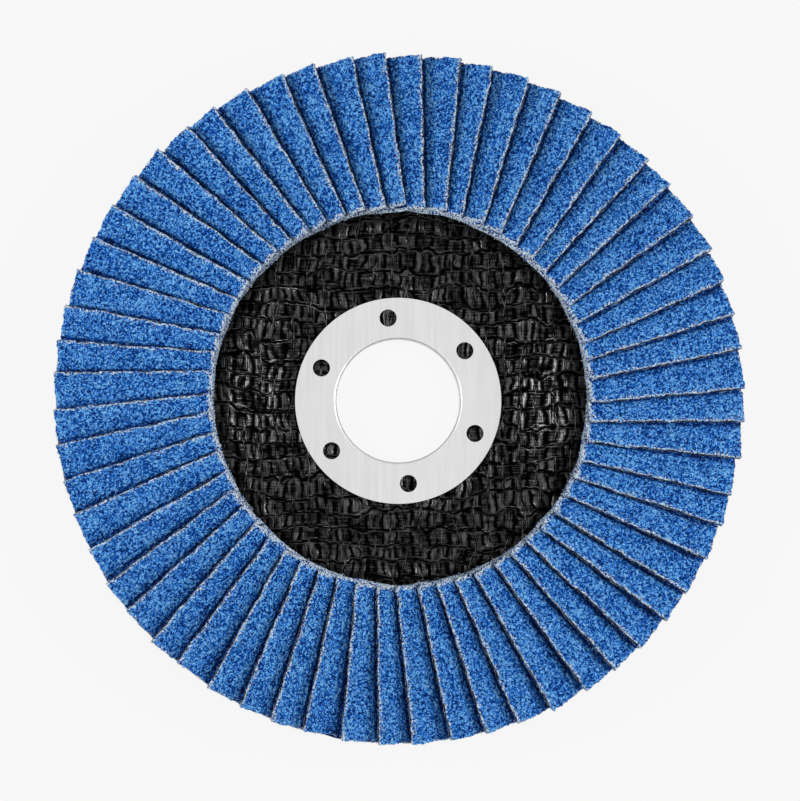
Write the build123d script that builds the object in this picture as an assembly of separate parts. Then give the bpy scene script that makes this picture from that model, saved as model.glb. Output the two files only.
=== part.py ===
"""Flap disc for an angle grinder, with a conical (type 29) face.

A pressed glass-fibre backing plate carries a clinched steel bore ring and, on an
adhesive bed, a closed round of overlapping abrasive cloth flaps.

Frame: +Z is the working side. The origin is on the axis, in the plane of the hub's
back face, which is the face that the grinder's flange clamps. Millimetres.
"""

from build123d import *
from math import cos, hypot, pi, radians, sin, tan
import os

# ---------------------------------------------------------------- driving sizes
DISC_DIAMETER = 125.0  # across the outer corners of the flaps
BORE_DIAMETER = 22.23  # spindle hole, inside the steel collar

# Steel ring: one stamping, a washer drawn down through the bore and flared behind.
RING_SHEET = 0.4
RING_BAND = 7.5  # from the bore to the ring's outer edge
RING_LIP = 0.5  # round of the lip at the bore, in three short bevels
FLARE_START = 0.95  # height above the back face where the collar turns outwards
FLARE_ANGLE = 45.0  # degrees between the collar and its flare
FLARE_SINK = 0.06  # the flare stays this far inside the back face
BOND_HOLE_DIAMETER = 3.1  # resin keys, in the middle of the band
BOND_HOLE_COUNT = 6
BOND_HOLE_ANGLE = 37.0  # degrees from +X to the first hole
RING_CLEARANCE = 0.03

# Backing plate: hub, dished wall and a rim that falls away towards its edge.
HUB_THICKNESS = 3.0
RIM_THICKNESS = 2.5
HUB_MARGIN = 2.2  # flat floor of the hub outside the ring
WALL_RUN = 10.0  # radial run of the dished wall
WALL_RISE = 5.8  # from the hub's front to the start of the rim
RIM_FALL = 10.0  # degrees that the rim falls towards its edge
FLAP_OVERHANG = 9.0  # the flaps stand this far past the plate's edge
WALL_ROUND = 2.0  # rounds at the foot and the head of the wall
EDGE_CHAMFER = 0.5  # trimmed back corner of the plate's outer edge

# Adhesive bed on the rim.
BED_THICKNESS = 0.6
BED_INSET = 1.2  # kept back from the flaps' inner ends and from the plate's edge

# Abrasive flaps: flat, stiff strips of coated cloth, each leaning on the next.
FLAP_COUNT = 60
FLAPS_PER_NODE = 2
FLAP_WIDTH = 16.0
FLAP_LEAD = 7.3  # the free, raised edge is this far ahead of the flap's own radius
FLAP_TOE = 2.7  # degrees that the outer end is turned ahead of the flap's radius
FLAP_THICKNESS = 1.15
FLAP_SETBACK = 2.8  # inner ends behind the head of the wall
FLAP_GAP = 0.06  # between one flap and the next, where they are closest
FLAP_SEAT = 0.1  # between a flap's lowest corner and the adhesive
FIRST_FLAP_ANGLE = 3.0  # degrees from +X to the first flap's radius

# ---------------------------------------------------------------- derived sizes
bore_radius = BORE_DIAMETER / 2
collar_radius = bore_radius + RING_SHEET
ring_radius = bore_radius + RING_BAND
hole_circle = (collar_radius + ring_radius) / 2
mitre = tan(radians(FLARE_ANGLE / 2))

hub_radius = ring_radius + HUB_MARGIN
head_radius = hub_radius + WALL_RUN
head_height = HUB_THICKNESS + WALL_RISE
plate_radius = DISC_DIAMETER / 2 - FLAP_OVERHANG

fall = tan(radians(RIM_FALL))
flap_inner = head_radius + FLAP_SETBACK
flap_outer = (DISC_DIAMETER**2 / 4 - FLAP_LEAD**2) ** 0.5
flap_length = (flap_outer - flap_inner) / cos(radians(RIM_FALL))
toe = tan(radians(FLAP_TOE))
pitch = 2 * pi / FLAP_COUNT


def flap_lean():
    """Rise of a flap for each millimetre across it, so that it just clears the next.

    Turned by one pitch, its plane moves off by pitch * (lean * inner - fall * low) over
    the slope's length, which has to be the thickness and the gap at the inner, low corner.
    """
    share = (FLAP_THICKNESS + FLAP_GAP) / (pitch * flap_inner)
    loss = fall * (FLAP_WIDTH - FLAP_LEAD) / flap_inner
    spare = 1 - share**2
    root = loss**2 + spare * (share**2 * (1 + fall**2) - loss**2)
    return (loss + root**0.5) / spare


lean = flap_lean()


def rim_front(radius):
    """Height of the plate's front face on the rim."""
    return head_height - (radius - head_radius) * fall


def rim_back(radius):
    """Height of the plate's back face behind the rim."""
    return rim_front(radius) - RIM_THICKNESS / cos(radians(RIM_FALL))


def bed_top(radius):
    """Height of the adhesive's top face."""
    return rim_front(radius) + BED_THICKNESS


def turned(section):
    """The solid that a section in the XZ plane makes round the axis."""
    return revolve(section, Axis.Z)


def backing_plate():
    """Pressed laminate: flat hub, dished wall, falling rim, countersunk bore."""
    back_lag = HUB_THICKNESS * WALL_RISE / WALL_RUN / 2  # keeps the wall near full thickness
    hole = collar_radius + RING_CLEARANCE
    sink_top = FLARE_START + (RING_SHEET / 2 + RING_CLEARANCE) * mitre
    sink_radius = hole + sink_top * tan(radians(FLARE_ANGLE))
    outline = [
        (sink_radius, 0),
        (hub_radius + back_lag, 0),
        (head_radius + back_lag, rim_back(head_radius + back_lag)),
        (plate_radius, rim_back(plate_radius)),
        (plate_radius, rim_front(plate_radius)),
        (head_radius, head_height),
        (hub_radius, HUB_THICKNESS),
        (hole, HUB_THICKNESS),
        (hole, sink_top),
    ]
    with BuildSketch(Plane.XZ) as section:
        with BuildLine():
            Polyline(*outline, close=True)
        make_face()
        wall = section.vertices().filter_by_position(
            Axis.X, hub_radius - WALL_ROUND, head_radius + back_lag + WALL_ROUND
        )
        fillet(wall, WALL_ROUND)
        edge = section.vertices().group_by(Axis.X)[-1].sort_by(Axis.Y)[0]
        chamfer(edge, EDGE_CHAMFER)
    return turned(section.sketch)


def bore_ring():
    """Thin steel washer with its collar drawn through the bore and flared behind."""
    face_height = HUB_THICKNESS + RING_SHEET
    out = sin(radians(FLARE_ANGLE))
    down = cos(radians(FLARE_ANGLE))
    half = RING_SHEET / 2
    drop = FLARE_START - FLARE_SINK - half * out
    end_radius = bore_radius + half + drop * out / down
    end_height = FLARE_START - drop
    lip = [
        (
            bore_radius + RING_LIP * (1 - sin(radians(turn))),
            face_height - RING_LIP * (1 - cos(radians(turn))),
        )
        for turn in (0, 30, 60, 90)
    ]
    outline = [
        (ring_radius, face_height),
        *lip,
        (bore_radius, FLARE_START - half * mitre),
        (end_radius - half * down, end_height - half * out),
        (end_radius + half * down, end_height + half * out),
        (collar_radius, FLARE_START + half * mitre),
        (collar_radius, HUB_THICKNESS),
        (ring_radius, HUB_THICKNESS),
    ]
    with BuildSketch(Plane.XZ) as section:
        with BuildLine():
            Polyline(*outline, close=True)
        make_face()
    ring = turned(section.sketch)
    punch = Cylinder(BOND_HOLE_DIAMETER / 2, 3 * RING_SHEET)  # clear of the sheet both ways
    for index in range(BOND_HOLE_COUNT):
        angle = BOND_HOLE_ANGLE + index * 360 / BOND_HOLE_COUNT
        ring -= Rot(0, 0, angle) * Pos(hole_circle, 0, face_height - half) * punch
    return ring


def adhesive_bed():
    """Conical band of cured epoxy on the rim, under the flaps' low edges."""
    inside = flap_inner + BED_INSET
    outside = plate_radius - BED_INSET
    outline = [
        (inside, rim_front(inside)),
        (outside, rim_front(outside)),
        (outside, bed_top(outside)),
        (inside, bed_top(inside)),
    ]
    with BuildSketch(Plane.XZ) as section:
        with BuildLine():
            Polyline(*outline, close=True)
        make_face()
    return turned(section.sketch)


def flap():
    """One flap on its own radius, let down on the bed with its free edge raised."""
    grain_side = Plane(
        origin=(flap_outer, -FLAP_LEAD, head_height),
        x_dir=(1, -toe, lean * toe - fall),
        z_dir=(fall, lean, 1),
    )
    inward_back_and_down = (Align.MAX, Align.MIN, Align.MAX)
    strip = grain_side * Box(
        flap_length, FLAP_WIDTH, FLAP_THICKNESS, align=inward_back_and_down
    )
    clearance = min(v.Z - bed_top(hypot(v.X, v.Y)) for v in strip.vertices())
    return Pos(0, 0, FLAP_SEAT - clearance) * strip


def flap_group(first, strip):
    """The flaps of one node, side by side, each a solid of its own."""
    turns = [
        FIRST_FLAP_ANGLE + (first + step) * 360 / FLAP_COUNT for step in range(FLAPS_PER_NODE)
    ]
    return Compound(children=[Rot(0, 0, turn) * strip for turn in turns])


def main():
    os.makedirs("parts", exist_ok=True)
    export_step(backing_plate(), "parts/backing_plate.step")
    export_step(bore_ring(), "parts/bore_ring.step")
    export_step(adhesive_bed(), "parts/adhesive_bed.step")
    strip = flap()
    for number, first in enumerate(range(0, FLAP_COUNT, FLAPS_PER_NODE), start=1):
        export_step(flap_group(first, strip), f"parts/flap_pair_{number:02d}.step")


main()
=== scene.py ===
"""Looks of a flap disc for an angle grinder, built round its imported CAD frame.

Run as a script, the file loads the frame, registers the add-on and builds every piece.
Lengths are in metres in the disc's own frame: the axis is Z, the working side is up.
"""

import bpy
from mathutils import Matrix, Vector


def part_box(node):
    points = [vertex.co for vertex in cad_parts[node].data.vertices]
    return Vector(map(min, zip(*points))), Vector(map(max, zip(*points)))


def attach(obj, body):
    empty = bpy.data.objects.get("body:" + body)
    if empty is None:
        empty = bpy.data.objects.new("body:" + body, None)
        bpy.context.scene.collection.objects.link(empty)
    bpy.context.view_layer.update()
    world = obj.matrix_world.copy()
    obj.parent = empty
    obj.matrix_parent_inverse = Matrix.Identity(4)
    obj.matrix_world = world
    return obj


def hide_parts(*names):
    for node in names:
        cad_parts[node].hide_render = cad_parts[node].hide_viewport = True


bl_info = {
    "name": "Flap disc",
    "version": (1, 0, 0),
    "blender": (4, 5, 0),
    "location": "3D View > Sidebar > Flap disc",
    "description": "Builds the pieces, finishes and studio of a flap disc",
    "category": "Object",
}

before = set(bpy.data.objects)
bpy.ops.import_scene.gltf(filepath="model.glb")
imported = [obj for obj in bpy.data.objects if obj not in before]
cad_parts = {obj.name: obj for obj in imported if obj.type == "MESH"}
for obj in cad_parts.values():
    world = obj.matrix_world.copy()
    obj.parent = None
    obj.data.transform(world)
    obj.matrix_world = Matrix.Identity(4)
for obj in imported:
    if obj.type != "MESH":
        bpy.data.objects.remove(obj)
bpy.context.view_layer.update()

from functools import partial
from math import atan2, ceil, cos, hypot, pi, radians, sin

import bpy
import numpy as np
from bpy.props import FloatProperty, FloatVectorProperty, IntProperty, PointerProperty
from bpy.types import Operator, Panel, PropertyGroup
from mathutils import Matrix, Vector
from mathutils.bvhtree import BVHTree

MM = 0.001
BODY = "root"
UV_MAP = "OFBake"
FLAP_NODES = sorted(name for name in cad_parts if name.startswith("flap_pair"))
NODE_PREFIXES = ("ShaderNode", "GeometryNode", "FunctionNode", "Node")
SKIN = 0.03 * MM  # a turned piece stays this far inside its CAD node's walls


# ---- small helpers
def colour(code):
    """Linear colour with alpha from an sRGB hex code."""
    parts = [int(code[i : i + 2], 16) / 255 for i in (1, 3, 5)]
    return tuple(c / 12.92 if c <= 0.04045 else ((c + 0.055) / 1.055) ** 2.4 for c in parts) + (1,)


def add(tree, kind, inputs=(), stops=(), **settings):
    """Adds a node with its settings and links.

    The kind is the type without its prefix, and may end in the node's operation. A Math
    node's operation alone will do. Inputs are a list in the sockets' order or a dict by
    name or number. Each is a plain value, a socket, or a node for its first output. Stops
    are the positions and colours of a colour ramp.
    """
    kind, _, operation = ("Math " + kind if kind.isupper() else kind).partition(" ")
    prefix = next(prefix for prefix in NODE_PREFIXES if hasattr(bpy.types, prefix + kind))
    node = tree.nodes.new(prefix + kind)
    if operation:
        node.operation = operation
    for name, value in settings.items():
        setattr(node, name, value)
    for key, value in inputs.items() if isinstance(inputs, dict) else enumerate(inputs):
        if isinstance(value, bpy.types.Node):
            value = value.outputs[0]
        if isinstance(value, bpy.types.NodeSocket):
            tree.links.new(value, node.inputs[key])
        else:
            node.inputs[key].default_value = value
    elements = node.color_ramp.elements if stops else ()
    while len(elements) < len(stops):
        elements.new(0.5)
    for element, (position, shade) in zip(elements, stops):
        element.position, element.color = position, shade
    return node


def new_material(name):
    """Empty material, and a function that adds nodes to it."""
    material = bpy.data.materials.new(name)
    material.use_nodes = True
    material.node_tree.nodes.clear()
    return material, partial(add, material.node_tree)


def give_surface(node, inputs):
    """Ends a material with a Principled shader that has these inputs."""
    node("OutputMaterial", {"Surface": node("BsdfPrincipled", inputs)})


def new_geometry_tree(name, inputs):
    """Geometry tree with named inputs, a function that adds nodes to it, and the inputs."""
    tree = bpy.data.node_groups.new(name, "GeometryNodeTree")
    for way in ("INPUT", "OUTPUT"):
        tree.interface.new_socket("Geometry", in_out=way, socket_type="NodeSocketGeometry")
    for label, kind in inputs.items():
        tree.interface.new_socket(label, in_out="INPUT", socket_type="NodeSocket" + kind)
    node = partial(add, tree)
    return tree, node, node("GroupInput").outputs


def end_relief(node, given, height):
    """Ends a geometry tree: moves each point out by height, and gives the finish."""
    offset = node("VectorMath SCALE", {0: node("InputNormal"), "Scale": height})
    moved = node("SetPosition", {"Geometry": given["Geometry"], "Offset": offset})
    smooth = node("SetShadeSmooth", [moved])
    real = node("RealizeInstances", [smooth])
    finished = node("SetMaterial", {0: real, "Material": given["Finish"]})
    node("GroupOutput", [finished])


def shape_with(piece, tree, values):
    """Runs a geometry tree on a piece once and keeps what comes out as its plain mesh."""
    modifier = piece.modifiers.new(tree.name, "NODES")
    modifier.node_group = tree
    for item in tree.interface.items_tree:
        if item.in_out == "INPUT" and item.name in values:
            modifier[item.identifier] = values[item.name]
    depsgraph = bpy.context.evaluated_depsgraph_get()
    mesh = bpy.data.meshes.new_from_object(
        piece.evaluated_get(depsgraph), preserve_all_data_layers=True, depsgraph=depsgraph
    )
    piece.modifiers.remove(modifier)
    # Parts without a material of their own leave an empty slot, which no face uses.
    for slot in reversed(range(len(mesh.materials))):
        if mesh.materials[slot] is None:
            mesh.materials.pop(index=slot)
    mesh.name = piece.name
    piece.data = mesh


def new_piece(name, mesh):
    """Object in the scene at the origin, unturned."""
    piece = bpy.data.objects.new(name, mesh)
    bpy.context.scene.collection.objects.link(piece)
    return piece


def mesh_from(name, points, faces, places=None):
    """Mesh with an optional UV map, given as one (u, v) for each corner of each face."""
    mesh = bpy.data.meshes.new(name)
    mesh.from_pydata(points, [], faces)
    if places is not None:
        layer = mesh.uv_layers.new(name=UV_MAP)
        layer.uv.foreach_set("vector", np.array(places, np.float32).ravel())
    mesh.update()
    return mesh


def give_points(mesh, name, values):
    """Stores one number for each point of the mesh."""
    layer = mesh.attributes.new(name, "FLOAT", "POINT")
    layer.data.foreach_set("value", np.array(values, np.float32))


def rolled_out(section, weights=1.0):
    """How far round a closed section each of its points lies, from 0 to 1."""
    runs = [hypot(b[0] - a[0], b[1] - a[1]) for a, b in zip(section, section[1:] + section[:1])]
    way = np.concatenate([[0], np.cumsum(np.multiply(runs, weights))])
    return way / way[-1]


# ---- sizes and colours
def measure(name, default, description, **unit):
    """Number that a user may change, a length unless a unit or a limit is given."""
    unit = unit or {"unit": "LENGTH", "precision": 5}
    return FloatProperty(name=name, description=description, default=default, **unit)


def tint(name, code, description):
    """Colour that a user may change."""
    return FloatVectorProperty(
        name=name, description=description, default=colour(code), subtype="COLOR", size=4)


class BackingPlateLooks(PropertyGroup):
    warp_pitch: measure("Warp pitch", 2.95 * MM, "From one pair of warp yarns to the next")
    weft_pitch: measure("Weft pitch", 3.1 * MM, "From one weft band to the next")
    relief: measure("Relief", 0.16 * MM, "Height of the yarns over the windows between them")
    resin: tint("Resin", "#010101", "Black phenolic resin in the windows of the cloth")
    yarn: tint("Yarn", "#545455", "Glass yarn under a thin film of resin")


class BoreRingLooks(PropertyGroup):
    steel: tint("Steel", "#DCDCDD", "Zinc-plated sheet")
    dull_steel: tint("Dull steel", "#9A9B9C", "Zinc plating in its duller patches")
    brush_pitch: measure("Brush pitch", 0.35 * MM, "Width of the rolling and brushing lines")


class AdhesiveLooks(PropertyGroup):
    lump: measure("Lump", 0.25 * MM, "How far the bead swells and sinks")
    resin: tint("Resin", "#1B1A1A", "Dark cured epoxy")
    dust: tint("Dust", "#3A4654", "Abrasive dust caught in the epoxy")


class FlapLooks(PropertyGroup):
    grain_pitch: measure("Grain pitch", 0.42 * MM, "From one abrasive grain to the next")
    grain_height: measure("Grain height", 0.2 * MM, "How far the grains stand out of the size coat")
    fray: measure("Fray", 0.8 * MM, "How far the cut edges wander")
    curl: measure("Curl", 0.5 * MM, "How far a free edge rises and dips along its length")
    spacing_scatter: measure(
        "Spacing scatter", radians(0.38), "Largest error in a flap's place round the disc",
        subtype="ANGLE", precision=4)
    yaw_scatter: measure(
        "Yaw scatter", radians(0.9), "Largest turn of a flap in its own plane",
        subtype="ANGLE", precision=4)
    slide_scatter: measure("Slide scatter", 0.16 * MM, "Largest shift of a flap along its length")
    thread_length: measure("Thread length", 0.4 * MM, "Longest loose thread at a cut edge")
    thread_radius: measure(
        "Thread radius", 0.055 * MM, "Half the thickness of a loose thread",
        unit="LENGTH", precision=6)
    threads: measure("Threads", 3.0, "Loose threads on each square millimetre of cut edge", min=0)
    seed: IntProperty(name="Seed", description="Picks the random pattern", default=7)
    # The pit and tip colours carry painted shade and painted highlight as well as the coat's own
    # tones.
    pit_coat_and_shade: tint("Coat, pits", "#042463", "Size coat deep between grains")
    coat_dark: tint("Coat, dark", "#0548B2", "Size coat in the hollows")
    coat_mid: tint("Coat, middle", "#0E6FDB", "Blue size coat")
    coat_bright: tint("Coat, bright", "#2B98FF", "Size coat on the sides of grains")
    tip_coat_and_highlight: tint("Coat, light", "#8ACDFF", "Thin coat over the tips of grains")
    # Painted shade: the lower part of a cut edge gets this dark colour for the shadow under the
    # free edge.
    cut_painted_shade: tint("Cut, lower part", "#0C1830", "Resin and blue dust low on a cut edge")
    cut_cloth: tint("Cut cloth", "#C4DEF2", "Cut threads with blue dust in them")
    backing_cloth: tint("Backing cloth", "#BFC4C2", "Resin-filled cloth on the back of a flap")
    thread: tint("Loose thread", "#F2F7F8", "Undyed polyester and cotton")
    dusty_thread: tint("Dusty thread", "#6FA6DC", "Loose thread full of blue dust")


class StudioLooks(PropertyGroup):
    background: tint("Background", "#F8F8F8", "Pale floor and surroundings")
    floor_share: measure(
        "Floor glow", 0.95, "Share of the floor's colour that no shadow darkens", min=0, max=1)
    ambient: measure("Ambient", 0.35, "Strength of the light from all round", min=0)
    lamp_power: measure("Lamp power", 3.05, "Power of each softbox in watts", min=0)
    lamp_side: measure("Lamp side", 0.3, "Side of each square softbox")
    lamp_distance: measure("Lamp distance", 0.75, "From the disc to each softbox")
    lamp_height: measure(
        "Lamp elevation", radians(38), "Angle of each softbox above the floor",
        subtype="ANGLE")
    camera_distance: measure("Camera distance", 1.1, "From the bore ring to the camera")
    field: measure("Field", 144.33 * MM, "Width that the picture takes in at the bore ring")


# ---- turned pieces
def height_reader(node):
    """Function that reads a CAD node's height at a radius, from above (1) or below (-1)."""
    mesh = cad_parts[node].data
    tree = BVHTree.FromPolygons([v.co for v in mesh.vertices], [p.vertices for p in mesh.polygons])
    turn = Matrix.Rotation(0.001, 3, "Z")  # off the line where the mesh is sewn up

    def height(radius, side):
        start = turn @ Vector((radius, 0, 0)) + Vector((0, 0, 0.1 * side))
        return tree.ray_cast(start, Vector((0, 0, -side)))[0].z

    return height


def radii(node):
    """Distance from the axis of each point of a CAD node."""
    return [hypot(v.co.x, v.co.y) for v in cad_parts[node].data.vertices]


def stations(start, end, step):
    """Evenly spread numbers from start towards end, without the end."""
    count = max(2, ceil(abs(end - start) / step))
    return list(np.linspace(start, end, count, endpoint=False))


def turned_mesh(name, profile, turns):
    """Closed ring. The profile holds radius and height, out over the front and back behind.

    The UV map is the section's length upwards against the turn.
    """
    rings = len(profile)
    angles = np.arange(turns) * 2 * pi / turns
    points = [
        (radius * c, radius * s, height)
        for radius, height in profile
        for c, s in zip(np.cos(angles), np.sin(angles))
    ]
    rolled = rolled_out(profile)
    faces = []
    places = []
    for ring in range(rings):
        after = (ring + 1) % rings
        for index in range(turns):
            beside = (index + 1) % turns
            faces.append((
                ring * turns + index, after * turns + index,
                after * turns + beside, ring * turns + beside,
            ))
            left, right = index / turns, (index + 1) / turns
            low, high = rolled[ring], rolled[ring + 1]
            places += [(left, low), (left, high), (right, high), (right, low)]
    return mesh_from(name, points, faces, places)


# ---- backing plate
PLATE_TURNS = 510
TRIM = 0.7 * MM  # width of the plate's trimmed outer edge
RING_EDGE = 0.5 * MM  # the cloth's relief starts this far under the ring's edge
PLATE_HIDDEN = 1.5 * MM  # and ends this far under the flaps


def plate_profile():
    """Radius, height and share of the cloth's relief, round the plate's section."""
    height = height_reader("backing_plate")
    bore = min(radii("backing_plate")) + SKIN
    edge = max(v.co.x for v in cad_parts["backing_plate"].data.vertices)
    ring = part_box("bore_ring")[1].x - RING_EDGE
    seen = min(radii(FLAP_NODES[0])) + PLATE_HIDDEN
    trim = edge - TRIM
    front = stations(bore, ring, 0.5 * MM) + stations(ring, seen, 0.29 * MM)
    front += stations(seen, trim, 1.6 * MM) + stations(trim, edge, 0.12 * MM) + [edge - SKIN]
    back = [edge - SKIN] + stations(trim, edge, 0.12 * MM)[:0:-1]
    back += stations(trim, bore, 1.0 * MM) + [bore]
    profile = [(radius, height(radius, 1), 1.0 if radius < seen else 0.3) for radius in front]
    return profile + [(radius, height(radius, -1), 0.6) for radius in back]


def cloth_fields(node, position, looks):
    """Adds the pattern of an open leno cloth over a second ply of the same cloth.

    It gives three fields from 0 to 1: the whole relief, the upright yarns, and a brightness that
    changes from one stretch of yarn to the next and, as painted shade, falls off across each yarn
    with its round profile.
    """
    wander = node(
        "TexNoise", {"Vector": position, "Scale": 1 / (8 * MM), "Detail": 3, "Roughness": 0.55})
    drift = node("VectorMath ADD", [wander.outputs[1], (-0.5, -0.5, -0.5)])
    pitches = (1 / looks.warp_pitch, 1 / looks.weft_pitch, 0)
    scaled = node("VectorMath MULTIPLY", [position, pitches])
    spread = node("VectorMath MULTIPLY", [drift, (1.5, 2.2, 0)])
    place = node("SeparateXYZ", [node("VectorMath ADD", [scaled, spread])])
    across, along = place.outputs[0], place.outputs[1]

    def repeat(value, count, shift):
        """Distance to the nearest of count yarns in a repeat, -0.5 to 0.5, and its number."""
        moved = node("MULTIPLY_ADD", [value, count, shift])
        share = node("FRACT", [moved])
        return node("SUBTRACT", [share, 0.5]), node("FLOOR", [moved])

    def ridge(distance, inner, outer):
        """1 within inner of a yarn's middle, falling smoothly to 0 at outer, so it is round."""
        off = node("ABSOLUTE", [distance])
        return node("MapRange", [off, inner, outer, 1.0, 0.0], interpolation_type="SMOOTHSTEP")

    def chance(column, row, layer, least):
        """Random brightness from least to 1 for one stretch of one yarn."""
        key = node("CombineXYZ", [column, row, layer])
        share = node("TexWhiteNoise", {"Vector": key})
        return node("MapRange", [share, 0.05, 0.95, least, 1.0])

    # Twisted pairs of thin upright yarns hold the lying ones.
    phase = node("MULTIPLY", [along, pi])
    sway = node("MULTIPLY", [node("COSINE", [phase]), 0.09])
    column, column_number = repeat(across, 1.0, 0.0)
    one = ridge(node("ADD", [column, sway]), 0.01, 0.09)
    other = ridge(node("SUBTRACT", [column, sway]), 0.01, 0.09)
    thin = node("MAXIMUM", [one, other])
    # Two lying yarns in each band.
    row, row_number = repeat(along, 1.0, 0.0)
    in_band = ridge(row, 0.12, 0.2)
    strand, strand_number = repeat(along, 5.0, 0.5)
    lying = node("MULTIPLY", [in_band, ridge(strand, 0.05, 0.46)])
    # The ply below shows in the windows: upright yarns side by side, and a band.
    low_strand, low_number = repeat(across, 2.0, 0.0)
    low_row, low_row_number = repeat(along, 1.0, 0.45)
    low_lying = node("MULTIPLY", [ridge(low_row, 0.04, 0.16), 0.6])
    # A low yarn dips where a band crosses it.
    window = node("SUBTRACT", [1.0, ridge(row, 0.02, 0.22)])
    dipping = node("MULTIPLY", [ridge(low_strand, 0.1, 0.47), window])

    # Painted shade: the brightness follows each yarn's round profile, darker towards its sides,
    # besides the random tone of each stretch.
    pair = node("MULTIPLY", [thin, chance(column_number, row_number, 3.0, 0.2)])
    lower = node("MULTIPLY", [dipping, chance(low_number, low_row_number, 1.0, 0.3)])
    band = node("MULTIPLY", [lying, chance(column_number, strand_number, 2.0, 0.2)])
    pressed = node("MULTIPLY", [node("MAXIMUM", [lower, low_lying]), 0.6])
    thin_relief = node("MULTIPLY", [thin, 0.9])
    lying_relief = node("MULTIPLY", [lying, 0.8])
    upper = node("MAXIMUM", [thin_relief, lying_relief])
    relief = node("MAXIMUM", [upper, pressed])
    between = node("MULTIPLY", [lower, node("SUBTRACT", [1.0, in_band])])
    upright = node("MAXIMUM", [pair, between])
    pair_shine = node("MULTIPLY", [pair, 0.9])
    band_shine = node("MAXIMUM", [node("MULTIPLY", [band, 0.85]), lower])
    return relief, upright, node("MAXIMUM", [pair_shine, band_shine])


def pressed_cloth_tree(looks):
    """Geometry tree that presses the cloth's windows into the faces of the plate."""
    tree, node, given = new_geometry_tree(
        "Pressed glass cloth", {"Relief": "Float", "Finish": "Material"})
    position = node("InputPosition").outputs[0]
    relief = cloth_fields(node, position, looks)[0]
    shown = node("InputNamedAttribute", {"Name": "cloth_shown"})
    # The yarns' tops stay at the plate's surface, and the windows sink.
    sunk = node("SUBTRACT", [relief, 1.0])
    share = node("MULTIPLY", [sunk, shown])
    end_relief(node, given, node("MULTIPLY", [share, given["Relief"]]))
    return tree


def pressed_glass_laminate(looks):
    """Glass cloth pressed hot in black phenolic resin: dark, half glossy, yarns raised.

    The filaments glint line by line, the resin in the windows between yarns stays black.
    Glass behind resin glints harder than a plastic does, so metallic is matched.
    """
    material, node = new_material("pressed_glass_laminate")
    place = node("TexCoord").outputs["Object"]
    relief, upright, bright = cloth_fields(node, place, looks)
    # Filaments are 0.01 mm thick: drawn as bundles 0.3 mm apart, or they would not show.
    bundle = 1 / (0.3 * MM)
    standing = node("VectorMath MULTIPLY", [place, (bundle, bundle / 12, 0)])
    lying = node("VectorMath MULTIPLY", [place, (bundle / 12, bundle, 0)])
    up_lines = node("TexNoise", {"Vector": standing, "Scale": 1.0, "Detail": 1})
    side_lines = node("TexNoise", {"Vector": lying, "Scale": 1.0, "Detail": 1})
    lines = node("Mix", {0: upright, 2: side_lines, 3: up_lines})
    sharp = node("MapRange", [lines, 0.38, 0.64, 0.2, 1.3])
    # The resin's film is thicker in some places.
    film = node("TexNoise", {"Vector": place, "Scale": 1 / (1.6 * MM), "Detail": 3})
    patchy = node("MapRange", [film, 0.36, 0.6, 0.35, 1.0])
    striped = node("MULTIPLY", [node("MULTIPLY", [bright, patchy]), sharp])
    bared = node("MapRange", [striped, 0.06, 0.62])
    tone = node("Mix", {0: bared, 6: looks.resin, 7: looks.yarn}, data_type="RGBA")
    fine = node("MULTIPLY", [lines, relief])
    whole = node("MULTIPLY_ADD", [fine, 1.2, relief])
    give_surface(node, {
        "Base Color": tone.outputs[2],
        "Roughness": node("MapRange", [bared, 0.0, 0.6, 0.8, 0.26]),
        "Specular IOR Level": 0.05, "Metallic": 0.8,
        "Normal": node("Bump", {"Height": whole, "Distance": looks.relief}),
    })
    return material


class FLAPDISC_OT_backing_plate(Operator):
    """Builds the pressed glass-fibre plate with the relief of its cloth"""

    bl_idname = "flap_disc.backing_plate"
    bl_label = "Backing plate"

    def execute(self, context):
        looks = context.scene.flap_disc_plate
        profile = plate_profile()
        section = [(radius, height) for radius, height, _ in profile]
        mesh = turned_mesh("laminate_plate", section, PLATE_TURNS)
        shown = [share for _, _, share in profile for _ in range(PLATE_TURNS)]
        give_points(mesh, "cloth_shown", shown)
        piece = new_piece("laminate_plate", mesh)
        finish = pressed_glass_laminate(looks)
        shape_with(piece, pressed_cloth_tree(looks), {"Relief": looks.relief, "Finish": finish})
        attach(piece, BODY)
        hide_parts("backing_plate")
        return {"FINISHED"}


# ---- bore ring
def zinc_plated_sheet(looks):
    """Zinc-plated steel strip, stamped: satin, bright, with faint lines from the rolling."""
    material, node = new_material("zinc_plated_sheet")
    place = node("TexCoord").outputs["Object"]
    line = 1 / looks.brush_pitch
    drawn = node("VectorMath MULTIPLY", [place, (line, line / 30, line / 30)])
    lines = node("TexNoise", {"Vector": drawn, "Scale": 1.0, "Detail": 3})
    cloud = node("TexNoise", {"Vector": place, "Scale": 1 / (6 * MM)})
    both = node("MULTIPLY_ADD", [lines, 0.6, cloud])
    shade = node("MapRange", [both, 0.55, 1.05, 0.93, 1.0])
    tone = node("Mix", {0: shade, 6: looks.dull_steel, 7: looks.steel}, data_type="RGBA")
    give_surface(node, {
        "Base Color": tone.outputs[2],
        "Roughness": node("MapRange", [lines, 0.3, 0.7, 0.3, 0.42]),
        "Metallic": 1.0,
        "Normal": node("Bump", {"Height": lines, "Strength": 0.25, "Distance": 0.01 * MM}),
    })
    return material


class FLAPDISC_OT_bore_ring(Operator):
    """Gives the stamped steel ring its plated finish"""

    bl_idname = "flap_disc.bore_ring"
    bl_label = "Bore ring"

    def execute(self, context):
        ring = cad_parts["bore_ring"]
        ring.data.materials.clear()
        ring.data.materials.append(zinc_plated_sheet(context.scene.flap_disc_ring))
        return {"FINISHED"}


# ---- adhesive bed
BEAD_TURNS = 360


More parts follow.
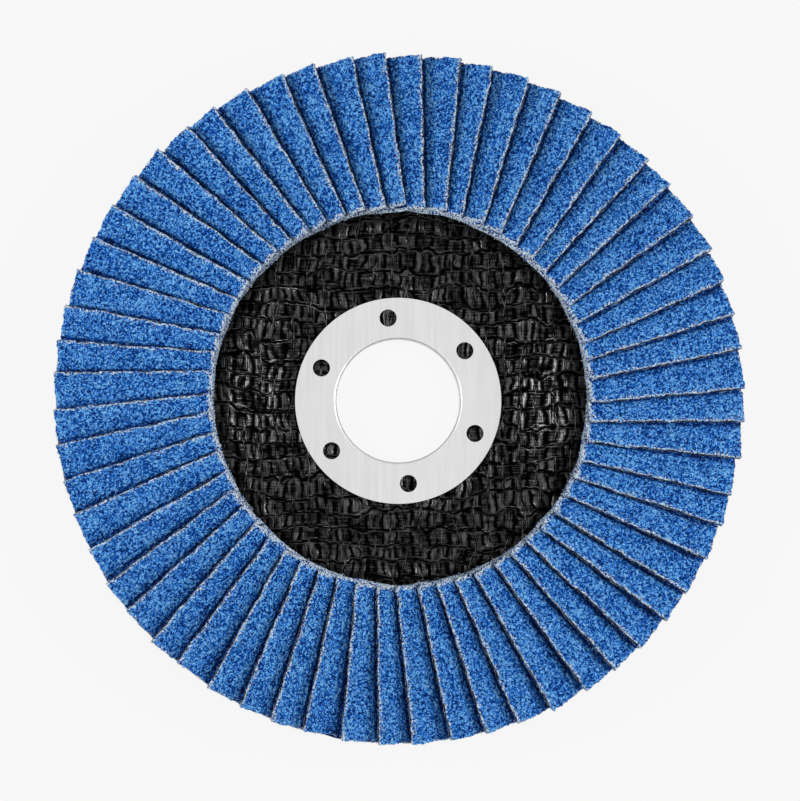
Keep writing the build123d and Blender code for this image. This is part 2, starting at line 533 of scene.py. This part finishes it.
def cured_epoxy(looks):
    """Two-part epoxy bead: dark, glossy, with trapped dust."""
    material, node = new_material("cured_epoxy")
    place = node("TexCoord").outputs["Object"]
    dust = node("TexNoise", {"Vector": place, "Scale": 1 / (0.8 * MM), "Detail": 4})
    give_surface(node, {
        "Base Color": node("ValToRGB", [dust], [(0.35, looks.resin), (0.75, looks.dust)]),
        "Roughness": node("MapRange", [dust, 0.3, 0.7, 0.18, 0.6]),
        "Normal": node("Bump", {"Height": dust, "Strength": 0.4, "Distance": 0.1 * MM}),
    })
    return material


def bead_tree():
    """Geometry tree that swells and dents a bead where its attribute free is above 0."""
    tree, node, given = new_geometry_tree("Epoxy bead", {"Lump": "Float", "Finish": "Material"})
    position = node("InputPosition")
    wide = node("TexNoise", {"Vector": position, "Scale": 1 / (2.6 * MM)})
    swell = node("MapRange", [wide, 0.3, 0.7, -0.4, 1.0])
    free = node("InputNamedAttribute", {"Name": "free"})
    share = node("MULTIPLY", [swell, free])
    end_relief(node, given, node("MULTIPLY", [share, given["Lump"]]))
    return tree


class FLAPDISC_OT_adhesive_bed(Operator):
    """Builds the lumpy epoxy bead that holds the flaps"""

    bl_idname = "flap_disc.adhesive_bed"
    bl_label = "Adhesive bed"

    def execute(self, context):
        looks = context.scene.flap_disc_adhesive
        height = height_reader("adhesive_bed")
        inner = min(radii("adhesive_bed")) + SKIN
        outer = max(radii("adhesive_bed")) - SKIN
        front = stations(inner, outer, 1.0 * MM) + [outer]
        back = stations(outer, inner, 2.0 * MM) + [inner]
        profile = [(radius, height(radius, 1)) for radius in front]
        profile += [(radius, height(radius, -1)) for radius in back]
        mesh = turned_mesh("epoxy_bead", profile, BEAD_TURNS)
        free = [1.0] * len(front) * BEAD_TURNS + [0.0] * len(back) * BEAD_TURNS
        give_points(mesh, "free", free)
        piece = new_piece("epoxy_bead", mesh)
        shape_with(piece, bead_tree(), {"Lump": looks.lump, "Finish": cured_epoxy(looks)})
        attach(piece, BODY)
        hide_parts("adhesive_bed")
        return {"FINISHED"}


# ---- flaps
COAT_DEPTH = 0.6 * MM  # size coat and grain, over the cloth
OPEN_SPARE = 1.1 * MM  # the fine mesh goes this far under the next flap's edge
FINE_ROWS = 30  # across the part that the next flap leaves open
HIDDEN_ROWS = 3  # across the part that it covers
FINE_STEP = 0.22 * MM  # along a flap
WORN_END = 0.42 * MM  # the coat has broken away this far at the inner end
WHOLE_END = 0.3 * MM  # the coat holds this much better at the outer end
UNDERCUT = 0.25 * MM  # the cloth is cut back this far under the coat of the free edge
END_UNDERCUT = 0.4 * MM  # and this far at the inner end
TRUED = 0.4 * MM  # ground off the outer end when the disc was trued
FRAY_REACH = 0.9 * MM  # the cut edges' fraying dies out this far inside them
FLAPS_SHARE = 0.95  # part of the UV map's width for flaps, the rest is for loose threads
THREAD_COLUMNS = 18  # of cells for the threads' faces in that rest
FLAP_SIZES = (  # properties that go straight into the flaps' tree
    "Grain pitch", "Grain height", "Fray", "Curl", "Spacing scatter", "Yaw scatter",
    "Slide scatter", "Thread length", "Thread radius", "Threads",
)


def islands(mesh):
    """Points of each loose part of a mesh, as arrays."""
    places = [tuple(round(c, 7) for c in v.co) for v in mesh.vertices]
    owner = {place: place for place in places}

    def root(place):
        while owner[place] != place:
            place = owner[place]
        return place

    for polygon in mesh.polygons:
        corners = [root(places[i]) for i in polygon.vertices]
        for corner in corners[1:]:
            owner[root(corner)] = root(corners[0])
    groups = {}
    for place in owner:
        groups.setdefault(root(place), []).append(place)
    return [np.array(group) for group in groups.values()]


def first_flap():
    """Turn, corner and size of the first flap, from its CAD solid.

    The corner is on the grain side, at the inner end of the free edge. The turn's axes run
    along the flap outwards, across it down to its low edge, and out of the grain.
    """
    corners = min(
        islands(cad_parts[FLAP_NODES[0]].data),
        key=lambda group: atan2(group[:, 1].mean(), group[:, 0].mean()),
    )
    middle = corners.mean(axis=0)
    along, across, out = (Vector(axis) for axis in np.linalg.svd(corners - middle)[2])
    along = along if along.dot(Vector(middle)) > 0 else -along
    across = across if across.z < 0 else -across
    out = out if out.z > 0 else -out
    size = [2 * abs((corners - middle) @ np.array(axis)).max() for axis in (along, across, out)]
    corner = Vector(middle) - along * size[0] / 2 - across * size[1] / 2 + out * size[2] / 2
    turn = Matrix((along, across, out)).transposed().to_euler()
    return turn, corner, size


def next_edge(turn, corner, length, pitch):
    """Line of the next flap's free edge on this flap.

    It gives the line's y at x = 0, its slope, and whether the next flap is the following
    one (1) or the one before (-1).
    """
    axes = turn.to_matrix()
    ends = (corner, corner + axes @ Vector((length, 0, 0)))
    lines = []
    for way in (-pitch, pitch):
        (x0, y0, _), (x1, y1, _) = (
            axes.inverted() @ (Matrix.Rotation(way, 3, "Z") @ end - corner) for end in ends
        )
        slope = (y1 - y0) / (x1 - x0)
        lines.append((y0 - slope * x0, slope, 1.0 if way > 0 else -1.0))
    return max(lines)


def flap_blank(length, width, thickness, edge_line, flaps):
    """Closed flap lying flat: x along it, y from the free edge, z down from the grain.

    The open part of the grain side has a fine mesh, the rest a coarse one. Each point
    knows how far inside the grain side it is (cut), negative down the edges, how far it
    is past the next flap's edge (past), how much it frays (frayed), and how pale its cut
    threads are (pale).
    """
    length -= TRUED
    columns = ceil(length / FINE_STEP)
    xs = np.linspace(0, length, columns + 1)
    top = FINE_ROWS + HIDDEN_ROWS + 1
    under = [(y, -thickness) for y in np.linspace(width, UNDERCUT, 8)]
    free_edge = [(UNDERCUT * share, -thickness * share) for share in (0.76, 0.52, 0.26)]

    def section(x):
        """Round of points across the flap, whose fine rows follow the next flap's edge."""
        open_width = edge_line[0] + edge_line[1] * x + OPEN_SPARE
        fine = np.linspace(0, open_width, FINE_ROWS + 1)
        hidden = np.linspace(open_width, width, HIDDEN_ROWS + 1)[1:]
        grain_side = [(y, 0.0) for y in [*fine, *hidden]]
        return grain_side + [(width, -COAT_DEPTH)] + under + free_edge

    def cut_back(x, z):
        """The cloth is cut back under the coat at the inner end too."""
        return x + END_UNDERCUT * -z / thickness * max(0.0, 1 - x / MM)

    # What is seen well gets more of the map: open part, hidden part, low edge, underside
    # and free edge.
    weights = [1.0] * FINE_ROWS + [0.35] * HIDDEN_ROWS + [0.5] * 2
    weights += [0.4] * (len(under) - 1) + [1.6] * (len(free_edge) + 1)
    count = len(weights)
    rolled = rolled_out(section(length / 2), weights)
    # The long faces take the map up to 0.84, and the two ends lie above them.
    share = FLAPS_SHARE / flaps - 0.01
    points = [(cut_back(x, z), y, z) for x in xs for y, z in section(x)]
    faces = []
    places = []
    for column in range(columns):
        low, high = (0.02 + 0.82 * c / columns for c in (column, column + 1))
        for index in range(count):
            after = (index + 1) % count
            faces.append((
                column * count + index, (column + 1) * count + index,
                (column + 1) * count + after, column * count + after,
            ))
            left, right = (0.01 + rolled[i] * share for i in (index, index + 1))
            places += [(left, low), (left, high), (right, high), (right, low)]

    def cap(column, bottom, outward):
        """Closes one end: the coat's layer in quads, the cloth's in a zip of triangles."""
        first = column * count
        upper = [first + i for i in range(top)]
        middle = [first + count - 2]
        for i in range(1, top - 1):
            middle.append(len(points))
            points.append((cut_back(xs[column], -COAT_DEPTH), points[upper[i]][1], -COAT_DEPTH))
        middle.append(first + top)
        lower = [first + top + i for i in range(len(under), 0, -1)]

        def face(corners):
            corners = corners if outward else corners[::-1]
            faces.append(tuple(corners))
            for corner in corners:
                y, z = points[corner][1:]
                places.append((0.01 + y / width * share, bottom + 0.05 * (1 + z / thickness)))

        face([upper[0], first + count - 1, middle[0], middle[1], upper[1]])
        for i in range(1, top - 1):
            face([upper[i], middle[i], middle[i + 1], upper[i + 1]])
        face([middle[0], first + count - 3, lower[0], lower[1], middle[1]])
        i, j = 1, 1
        while i < len(middle) - 1 or j < len(lower) - 1:
            ahead_mid = points[middle[i + 1]][1] if i < len(middle) - 1 else 1e9
            ahead_low = points[lower[j + 1]][1] if j < len(lower) - 1 else 1e9
            if ahead_mid <= ahead_low:
                face([middle[i], lower[j], middle[i + 1]])
                i += 1
            else:
                face([middle[i], lower[j], lower[j + 1]])
                j += 1

    cap(0, 0.86, False)
    cap(columns, 0.93, True)
    mesh = mesh_from("flap_blank", points, faces, places)

    x, y, z = np.array(points).T
    on_grain = z > -1e-9
    inside = np.minimum.reduce([x - WORN_END, y, length - x + WHOLE_END, width - y])
    give_points(mesh, "cut", np.where(on_grain, inside, z))
    give_points(mesh, "past", np.where(on_grain, y - edge_line[0] - edge_line[1] * x, -width))
    near = np.minimum.reduce([x, y, length - x])
    give_points(mesh, "frayed", np.clip(1 - near / FRAY_REACH, 0, 1))
    # The inner end is pale but for its lowest threads, which keep the dark cut colour as painted
    # shade between the stacked ends; the trued outer end is half as pale.
    inner = np.clip(1 - (-z - 0.8 * MM) / (0.3 * MM), 0, 1)
    outer = np.where(length - x < 0.5 * MM, 0.55, 0.0)
    give_points(mesh, "pale", np.where(x < 1.5 * MM, inner, outer))
    return mesh


def flap_tree():
    """Geometry tree that makes a few neighbouring flaps out of one flat blank."""
    tree, node, given = new_geometry_tree("Flap group", {
        "First flap": "Int", "Flaps": "Int", "Pitch": "Float", "Next": "Float",
        "Inner radius": "Float", "Turn": "Rotation", "Corner": "Vector", "Middle": "Vector",
        **dict.fromkeys(FLAP_SIZES, "Float"),
        "Seed": "Int", "Cloth": "Material", "Thread": "Material",
    })
    store = "StoreNamedAttribute"
    on_corners = {"data_type": "FLOAT2", "domain": "CORNER"}

    line = node("MeshLine", {"Count": given["Flaps"], "Offset": (0, 0, 0)})
    stack = node("InstanceOnPoints", {"Points": line, "Instance": given["Geometry"]})
    number = node("ADD", [node("InputIndex"), given["First flap"]])
    named = node(store, {"Geometry": stack, "Name": "flap", "Value": number}, domain="INSTANCE")
    flat = node("RealizeInstances", [named])
    flap, cut, past, frayed = (
        node("InputNamedAttribute", {"Name": name}) for name in ("flap", "cut", "past", "frayed")
    )
    position = node("InputPosition")
    split = node("SeparateXYZ", [position])
    apart = node("VectorMath SCALE", {0: (0.37, 0.61, 0.83), "Scale": flap})
    own_place = node("VectorMath ADD", [position, apart])

    # Cut edges wander slowly with the blade and break off grain by grain.
    slow = node("TexNoise", {"Vector": own_place, "Scale": 1 / (3.2 * MM), "Detail": 1})
    quick = node("TexNoise", {"Vector": own_place, "Scale": 1 / (0.55 * MM)})
    centre = (-0.5, -0.5, -0.5)
    slow_way = node("VectorMath ADD", [slow.outputs[1], centre])
    quick_way = node("VectorMath ADD", [quick.outputs[1], centre])
    wander = node("VectorMath ADD", [slow_way, quick_way])
    fray = node("MULTIPLY", [frayed, given["Fray"]])
    frays = node("VectorMath SCALE", {0: wander, "Scale": fray})

    # Each flap lands a little out of place, and so does the next one, which covers it.
    count = node("DIVIDE", [2 * pi, given["Pitch"]])
    next_flap = node("ADD", [flap, given["Next"]])
    following = node("FLOORED_MODULO", [next_flap, count])

    def scatter(most, shift, number):
        """Random number between plus and minus most, the same each time for one flap."""
        seed = node("ADD", [given["Seed"], float(shift)])
        least = node("MULTIPLY", [given[most], -1.0])
        span = {2: least, 3: given[most], "ID": number, "Seed": seed}
        return node("RandomValue", span).outputs[1]

    yaw = scatter("Yaw scatter", 0, flap)
    slide = scatter("Slide scatter", 1, flap)
    spacing = scatter("Spacing scatter", 2, flap)
    closer = node("SUBTRACT", [spacing, scatter("Spacing scatter", 2, following)])
    radius = node("ADD", [split.outputs[0], given["Inner radius"]])
    turned_by = node("MULTIPLY", [closer, given["Next"]])
    deeper = node("MULTIPLY_ADD", [turned_by, radius, past])
    covered = node("MapRange", [deeper, -0.08 * MM, 0.37 * MM])

    # Grains stand in clumps with pits between, and sink where the next flap presses.
    fineness = node("DIVIDE", [0.8, given["Grain pitch"]])
    clumps = node("TexNoise", {
        "Vector": own_place, "Scale": fineness, "Detail": 1.5, "Roughness": 0.6,
        "Distortion": 0.5,
    })
    tips = node("MapRange", [clumps, 0.3, 0.7])
    grown = node("MapRange", [cut, -0.05 * MM, 0.12 * MM])
    shown = node("MULTIPLY", [tips, grown])
    height = node("MULTIPLY", [shown, given["Grain height"]])
    sunk = node("MULTIPLY_ADD", [covered, -0.28 * MM, height])
    # A free edge curls a little up and down along its length.
    wave = node("TexNoise", {"Vector": own_place, "Scale": 1 / (14 * MM), "Detail": 0})
    swing = node("SUBTRACT", [wave, 0.5])
    hold = node("MapRange", [split.outputs[1], 0.0, 7 * MM, 1.0, 0.0])
    lift = node("MULTIPLY", [swing, hold])
    curl = node("MULTIPLY_ADD", [lift, given["Curl"], sunk])
    offset = node("VectorMath ADD", [frays, node("CombineXYZ", {"Z": curl})])
    # The cloth's material paints shade on the coat where covered is high.
    marked = node(store, {"Geometry": flat, "Name": "covered", "Value": covered})
    rough = node("SetPosition", {"Geometry": marked, "Offset": offset})
    grained = node(store, {"Geometry": rough, "Name": "grain", "Value": shown})

    turned = node(
        "VectorRotate", {"Vector": position, "Center": given["Middle"], "Angle": yaw},
        rotation_type="Z_AXIS")
    landed = node("VectorMath ADD", [turned, node("CombineXYZ", {"X": slide})])
    loose = node("SetPosition", {"Geometry": grained, "Position": landed})
    seated = node("Transform", {
        "Geometry": loose, "Translation": given["Corner"], "Rotation": given["Turn"]})
    angle = node("MULTIPLY_ADD", [flap, given["Pitch"], spacing])
    round_axis = node("VectorRotate", {"Vector": position, "Angle": angle}, rotation_type="Z_AXIS")
    placed = node("SetPosition", {"Geometry": seated, "Position": round_axis})

    # Each flap has its own part of the map, side by side.
    drawn = node("InputNamedAttribute", {"Name": UV_MAP}, data_type="FLOAT_VECTOR")
    order = node("SUBTRACT", [flap, given["First flap"]])
    part = node("DIVIDE", [FLAPS_SHARE, given["Flaps"]])
    aside = node("CombineXYZ", {"X": node("MULTIPLY", [order, part])})
    own_part = node("VectorMath ADD", [drawn.outputs[0], aside])
    mapped = node(store, {"Geometry": placed, "Name": UV_MAP, "Value": own_part}, **on_corners)
    clothed = node("SetMaterial", {0: mapped, "Material": given["Cloth"]})

    # Loose threads stand out of the cut edges.
    bare = node("LESS_THAN", [cut, 0.0])
    at_edge = node("GREATER_THAN", [frayed, 0.95])
    cut_face = node("MULTIPLY", [bare, at_edge])
    crowd = node("MULTIPLY", [given["Threads"], 1 / MM**2])
    density = node("MULTIPLY", [crowd, cut_face])
    roots = node("DistributePointsOnFaces", {
        "Mesh": clothed, "Density": density, "Seed": given["Seed"]})
    tip = node("CombineXYZ", {"Z": given["Thread length"]})
    staple = node("CurvePrimitiveLine", {"End": tip})
    joints = node("ResampleCurve", {"Curve": staple, "Count": 4})
    bend = node("TexNoise", {"Vector": position, "Scale": 1 / (0.6 * MM), "Detail": 0})
    bent_way = node("VectorMath ADD", [bend.outputs[1], centre])
    bent = node("VectorMath SCALE", {0: bent_way, "Scale": given["Thread length"]})
    crooked = node("SetPosition", {"Geometry": joints, "Offset": bent})
    circle = node("CurvePrimitiveCircle", {"Resolution": 3, "Radius": given["Thread radius"]})
    tube = node("CurveToMesh", {"Curve": crooked, "Profile Curve": circle, "Fill Caps": True})
    leaning = node(
        "RandomValue", {0: (-0.9, -0.9, -3.1), 1: (0.9, 0.9, 3.1), "Seed": given["Seed"]},
        data_type="FLOAT_VECTOR")
    outward = node("AlignRotationToVector", {"Vector": roots.outputs["Normal"]}, axis="Z")
    tilted = node(
        "RotateRotation", {"Rotation": outward, "Rotate By": leaning}, rotation_space="LOCAL")
    sizes = node("RandomValue", {2: 0.3, 3: 1.0, "Seed": given["Seed"]})
    threads = node("InstanceOnPoints", {
        "Points": roots, "Instance": tube, "Rotation": tilted, "Scale": sizes.outputs[1]})
    real_threads = node("RealizeInstances", [threads])

    # Each face of a thread gets its own cell in the strip beside the flaps' parts.
    corner = node("FaceOfCorner").outputs
    face, turn = corner["Face Index"], corner["Index in Face"]
    faces = node("AttributeDomainSize", [real_threads]).outputs["Face Count"]
    columns = float(THREAD_COLUMNS)
    in_row = node("MODULO", [face, columns])
    row = node("FLOOR", [node("DIVIDE", [face, columns])])
    last_row = node("ADD", [node("DIVIDE", [faces, columns]), 1.0])
    middle_turn = node("COMPARE", [turn, 1.5, 0.6])
    late_turn = node("GREATER_THAN", [turn, 1.5])
    cell_u = node("MULTIPLY_ADD", [middle_turn, 0.9, in_row])
    cell_v = node("MULTIPLY_ADD", [late_turn, 0.9, row])
    cell = node("CombineXYZ", [
        node("MapRange", [cell_u, 0.0, columns, FLAPS_SHARE + 0.01, 0.995]),
        node("MapRange", [cell_v, 0.0, last_row, 0.01, 0.99]),
    ])
    celled = node(store, {"Geometry": real_threads, "Name": UV_MAP, "Value": cell}, **on_corners)
    pale = node("SetMaterial", {0: celled, "Material": given["Thread"]})
    whole = node("JoinGeometry", [clothed])
    tree.links.new(pale.outputs[0], whole.inputs[0])
    node("GroupOutput", [whole])
    return tree


def coated_abrasive_cloth(looks):
    """Zirconia grain in a blue size coat, over polyester and cotton cloth filled with resin.

    Hollows between grains are deep blue with painted shade, and grain tips pale from a thin coat
    and painted highlight. The knife leaves the coat's broken edge and the cut threads bare, so
    every cut edge is pale at its top; lower down a free edge's cut face gets painted shade.
    """
    material, node = new_material("coated_abrasive_cloth")
    place = node("TexCoord").outputs["Object"]
    cut, grain, pale, covered = (
        node("Attribute", attribute_name=name).outputs["Fac"]
        for name in ("cut", "grain", "pale", "covered")
    )
    fineness = 1 / looks.grain_pitch
    speckle = node("TexNoise", {
        "Vector": place, "Scale": fineness, "Detail": 2.5, "Roughness": 0.65,
        "Distortion": 0.8,
    })
    grit = node("TexNoise", {"Vector": place, "Scale": fineness * 2.2, "Detail": 1})
    cloud = node("TexNoise", {"Vector": place, "Scale": 1 / (3 * MM)})
    # Higher grains are paler: partly the thin coat over them, partly painted highlight.
    grained = node("MULTIPLY_ADD", [grain, 0.22, speckle])
    gritty = node("MULTIPLY_ADD", [grit, 0.7, grained])
    clouded = node("MULTIPLY_ADD", [cloud, 0.18, gritty])
    # Painted shade: the coat is darkened in the corner under the next flap's edge, where shade
    # falls.
    shaded = node("MULTIPLY_ADD", [covered, -0.13, clouded])
    # The coat's ramp runs from painted shade in the pits to painted highlight on the grain tips,
    # over the coat's own blue tones.
    coat = node("ValToRGB", [node("MapRange", [shaded, 0.93, 1.16])], [
        (0.0, looks.pit_coat_and_shade), (0.25, looks.coat_dark), (0.5, looks.coat_mid),
        (0.72, looks.coat_bright), (1.0, looks.tip_coat_and_highlight),
    ])

    # The cut face: cut threads at its top and all over the inner end, painted shade below, for the
    # shadow in the gap under the free edge.
    strands = node("TexNoise", {"Vector": place, "Scale": 1 / (0.32 * MM), "Detail": 3})
    dusty = node("ValToRGB", [strands], [
        (0.4, looks.coat_dark), (0.48, looks.cut_cloth), (0.6, looks.thread),
        (0.72, looks.cut_cloth),
    ])
    upper = node("MapRange", [cut, -0.5 * MM, -0.12 * MM])
    threads = node("MAXIMUM", [upper, pale])
    face = node("Mix", {0: threads, 6: looks.cut_painted_shade, 7: dusty}, data_type="RGBA")
    # The underside shows the backing's own cloth.
    deep = node("MapRange", [cut, -1.12 * MM, -1.0 * MM, 1.0, 0.0])
    weave = node("TexNoise", {"Vector": place, "Scale": 1 / (0.5 * MM)})
    cloth = node("Mix", {0: weave, 6: looks.backing_cloth, 7: looks.cut_cloth}, data_type="RGBA")
    bare = node("Mix", {0: deep, 6: face.outputs[2], 7: cloth.outputs[2]}, data_type="RGBA")

    # The coat's border is ragged: it breaks back from the knife's line by a grain or less.
    ragged = node("SUBTRACT", [0.5, strands])
    clusters = node("TexNoise", {"Vector": place, "Scale": 1 / (2.2 * MM), "Detail": 1})
    depth = node("MapRange", [clusters, 0.4, 0.62, 0.9 * MM, 5.0 * MM])
    border = node("MULTIPLY_ADD", [ragged, depth, cut])
    coated = node("MapRange", [border, 0.05 * MM, 0.12 * MM])
    skin = node("Mix", {0: coated, 6: bare.outputs[2], 7: coat}, data_type="RGBA")
    facets = node("MULTIPLY_ADD", [grit, 0.5, speckle])
    give_surface(node, {
        "Base Color": skin.outputs[2],
        "Roughness": node("MapRange", [coated, 0.0, 1.0, 0.85, 0.42]),
        "Specular IOR Level": 0.08,
        "Normal": node("Bump", {"Height": facets, "Distance": 0.5 * MM}),
    })
    return material


def loose_thread(looks):
    """Undyed polyester and cotton staple: matte, nearly white."""
    material, node = new_material("loose_thread")
    place = node("TexCoord").outputs["Object"]
    dust = node("TexNoise", {"Vector": place, "Scale": 1 / (1.5 * MM)})
    tone = node("ValToRGB", [dust], [
        (0.35, looks.dusty_thread), (0.48, looks.cut_cloth), (0.6, looks.thread)])
    give_surface(node, {"Base Color": tone, "Roughness": 0.9})
    return material


class FLAPDISC_OT_flaps(Operator):
    """Builds the round of overlapping abrasive flaps, two to a piece"""

    bl_idname = "flap_disc.flaps"
    bl_label = "Flaps"

    def execute(self, context):
        looks = context.scene.flap_disc_flaps
        turn, corner, size = first_flap()
        per_piece = len(islands(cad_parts[FLAP_NODES[0]].data))
        pitch = 2 * pi / (len(FLAP_NODES) * per_piece)
        edge_line = next_edge(turn, corner, size[0], pitch)
        blank = flap_blank(*size, edge_line, per_piece)
        tree = flap_tree()
        shared = {name: getattr(looks, name.lower().replace(" ", "_")) for name in FLAP_SIZES}
        shared |= {
            "Flaps": per_piece, "Pitch": pitch, "Next": edge_line[2],
            "Inner radius": hypot(corner.x, corner.y), "Turn": turn, "Corner": corner,
            "Middle": (size[0] / 2, size[1] / 2, 0), "Seed": looks.seed,
            "Cloth": coated_abrasive_cloth(looks), "Thread": loose_thread(looks),
        }
        for order, node in enumerate(FLAP_NODES):
            piece = new_piece(node.replace("flap_pair", "abrasive_flaps"), blank)
            shape_with(piece, tree, {**shared, "First flap": order * per_piece})
            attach(piece, BODY)
            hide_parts(node)
        return {"FINISHED"}


# ---- studio
BOARD_REACH = 3.0  # half the floor's side
BOARD_DROP = 0.02 * MM  # the floor lies this far under the disc's back
VIEW_MIDDLE = (0.318 * MM, 0.038 * MM)  # of the picture, on the ring's face
VIEW_LEAN = Vector((-0.041, -0.0571, 1.0))  # from there to the camera


def background_rays(node):
    """1 for the rays that see a background as it is: camera, glossy and transmission."""
    path = node("LightPath").outputs
    seen = node("MAXIMUM", [path["Is Camera Ray"], path["Is Glossy Ray"]])
    return node("MAXIMUM", [seen, path["Is Transmission Ray"]])


def pale_board(looks):
    """Matte white board. Part of its colour is given to camera rays as it stands."""
    material, node = new_material("pale_board")
    matte = node("BsdfPrincipled", {"Base Color": looks.background, "Roughness": 1.0})
    plain = node("Emission", {"Color": looks.background})
    share = node("MULTIPLY", [background_rays(node), looks.floor_share])
    node("OutputMaterial", {"Surface": node("MixShader", [share, matte, plain])})
    return material


class FLAPDISC_OT_studio(Operator):
    """Sets up the pale floor, the softboxes, the surroundings and the camera"""

    bl_idname = "flap_disc.studio"
    bl_label = "Studio"

    def execute(self, context):
        looks = context.scene.flap_disc_studio
        scene = context.scene
        scene.view_settings.view_transform = "Standard"

        quarters = ((-1, -1), (1, -1), (1, 1), (-1, 1))
        board = [(x * BOARD_REACH, y * BOARD_REACH, -BOARD_DROP) for x, y in quarters]
        floor = new_piece("floor", mesh_from("floor", board, [(0, 1, 2, 3)]))
        floor.data.materials.append(pale_board(looks))

        world = bpy.data.worlds.new("pale_studio")
        scene.world = world
        world.use_nodes = True
        world.node_tree.nodes.clear()
        node = partial(add, world.node_tree)
        strength = node("MapRange", [background_rays(node), 0.0, 1.0, looks.ambient, 1.0])
        sky = node("Background", {"Color": looks.background, "Strength": strength})
        node("OutputWorld", {"Surface": sky})

        for name, side in (("softbox_left", -1), ("softbox_right", 1)):
            lamp = bpy.data.lights.new(name, "AREA")
            lamp.shape = "SQUARE"
            lamp.size = looks.lamp_side
            lamp.energy = looks.lamp_power
            holder = new_piece(name, lamp)
            run = looks.lamp_distance * cos(looks.lamp_height)
            holder.location = (side * run, 0, looks.lamp_distance * sin(looks.lamp_height))
            holder.rotation_euler = (-holder.location).to_track_quat("-Z", "Y").to_euler()

        lens = bpy.data.cameras.new("camera")
        lens.sensor_fit = "HORIZONTAL"
        lens.sensor_width = 36.0
        lens.lens = lens.sensor_width * looks.camera_distance * VIEW_LEAN.length / looks.field
        lens.clip_end = 10.0
        camera = new_piece("camera", lens)
        middle = Vector((*VIEW_MIDDLE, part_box("bore_ring")[1].z))
        camera.location = middle + VIEW_LEAN * looks.camera_distance
        back = VIEW_LEAN.normalized()
        across = Vector((0, 1, 0)).cross(back).normalized()
        axes = Matrix((across, back.cross(across), back))
        camera.rotation_euler = axes.transposed().to_euler()
        scene.camera = camera
        return {"FINISHED"}


# ---- sidebar and registration
OPERATORS = (
    FLAPDISC_OT_backing_plate,
    FLAPDISC_OT_bore_ring,
    FLAPDISC_OT_adhesive_bed,
    FLAPDISC_OT_flaps,
    FLAPDISC_OT_studio,
)
LOOKS = {
    "flap_disc_plate": BackingPlateLooks,
    "flap_disc_ring": BoreRingLooks,
    "flap_disc_adhesive": AdhesiveLooks,
    "flap_disc_flaps": FlapLooks,
    "flap_disc_studio": StudioLooks,
}


class FLAPDISC_PT_sidebar(Panel):
    """Lists the pieces with their sizes and colours"""

    bl_idname = "FLAPDISC_PT_sidebar"
    bl_label = "Flap disc"
    bl_space_type = "VIEW_3D"
    bl_region_type = "UI"
    bl_category = "Flap disc"

    def draw(self, context):
        for operator, (holder, group) in zip(OPERATORS, LOOKS.items()):
            box = self.layout.box()
            box.operator(operator.bl_idname)
            for name in group.__annotations__:
                box.prop(getattr(context.scene, holder), name)


CLASSES = (*LOOKS.values(), *OPERATORS, FLAPDISC_PT_sidebar)


def register():
    for cls in CLASSES:
        bpy.utils.register_class(cls)
    for holder, group in LOOKS.items():
        setattr(bpy.types.Scene, holder, PointerProperty(type=group))


def unregister():
    for holder in LOOKS:
        delattr(bpy.types.Scene, holder)
    for cls in reversed(CLASSES):
        bpy.utils.unregister_class(cls)


def main():
    register()
    for operator in OPERATORS:
        group, name = operator.bl_idname.split(".")
        getattr(getattr(bpy.ops, group), name)()


if __name__ == "__main__":
    main()
